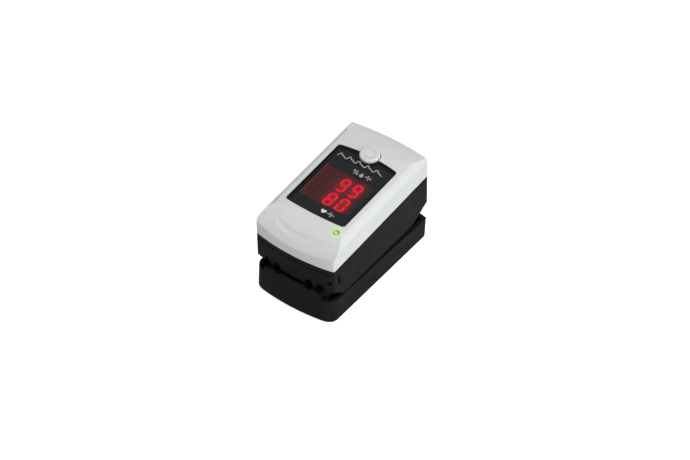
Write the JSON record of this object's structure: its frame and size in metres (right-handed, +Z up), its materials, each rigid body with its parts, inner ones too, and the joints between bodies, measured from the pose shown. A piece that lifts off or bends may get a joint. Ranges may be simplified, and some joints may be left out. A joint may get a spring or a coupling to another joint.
{
  "type": "fingertip pulse oximeter",
  "caption": "Hinged clip that closes on a fingertip: silver cover with a dark display window, round button and status light, black halves, sliding battery door.",
  "frame": {"origin": "centre of the lower half's flat underside, on the plane the device rests on", "axes": "+Z up out of the display side, +Y along the length towards the mouth that the finger enters, +X across towards the side with the status light"},
  "size_m": [0.032, 0.0597, 0.0393],
  "materials": {
    "silver_plastic": "satin silver-grey",
    "dark_lens": "polished, dark see-through",
    "green_light": "clear green",
    "light_chip": "smooth",
    "button_plastic": "satin silver-grey",
    "black_plastic": "fine satin",
    "switch_steel": "stamped",
    "display_face": "dull dark red",
    "lit_segment": "glowing red",
    "unlit_segment": "dark red",
    "circuit_board": "solder mask",
    "screw_steel": "turned",
    "chip_plastic": "moulded",
    "pad_rubber": "soft matt",
    "cell_wrap": "printed sleeve",
    "contact_metal": "nickel plated",
    "spring_steel": "drawn wire",
    "ribbon_film": "amber film"
  },
  "bodies": {
    "lower_half": {"lower_housing": "black_plastic", "lower_frame": "black_plastic", "lower_finger_pad": "pad_rubber", "detector_board": "circuit_board", "photodiode": "light_chip", "battery_left": "cell_wrap", "battery_right": "cell_wrap", "battery_contacts": "contact_metal", "battery_bridge": "contact_metal", "hinge_pin": "screw_steel", "frame_screws": "screw_steel", "torsion_spring_left": "spring_steel", "torsion_spring_right": "spring_steel", "link_ribbon": "ribbon_film"},
    "upper_half": {"top_cover": "silver_plastic", "display_window": "dark_lens", "status_light_pipe": "green_light", "status_light_chip": "light_chip", "tactile_switch": "switch_steel", "display_module": "display_face", "display_digits": "lit_segment", "pulse_bar": "unlit_segment", "main_board": "circuit_board", "board_screws": "screw_steel", "board_chips": "chip_plastic", "upper_housing": "black_plastic", "cover_screws": "screw_steel", "emitter_board": "circuit_board", "emitter_lights": "light_chip", "upper_finger_pad": "pad_rubber"},
    "button": {"power_button": "button_plastic", "switch_plunger": "black_plastic"},
    "door": {"battery_door": "black_plastic"}
  },
  "joints": [
    {"name": "clamp", "type": "hinge", "parent": "lower_half", "child": "upper_half", "pos_m": [0, -0.02, 0.0156], "axis": [1, 0, 0], "range_deg": [0, 14], "stiffness_Nm_per_rad": 0.2, "springref_deg": -17.19, "deforming": ["torsion_spring_left", "torsion_spring_right", "link_ribbon"]},
    {"name": "button_press", "type": "slide", "parent": "upper_half", "child": "button", "axis": [0, 0.0802, -0.9968], "range_m": [0, 0.0004], "stiffness_N_per_m": 1500, "springref_m": -0.0003},
    {"name": "door_slide", "type": "slide", "parent": "lower_half", "child": "door", "axis": [0, 1, 0], "range_m": [0, 0.06]}
  ]
}
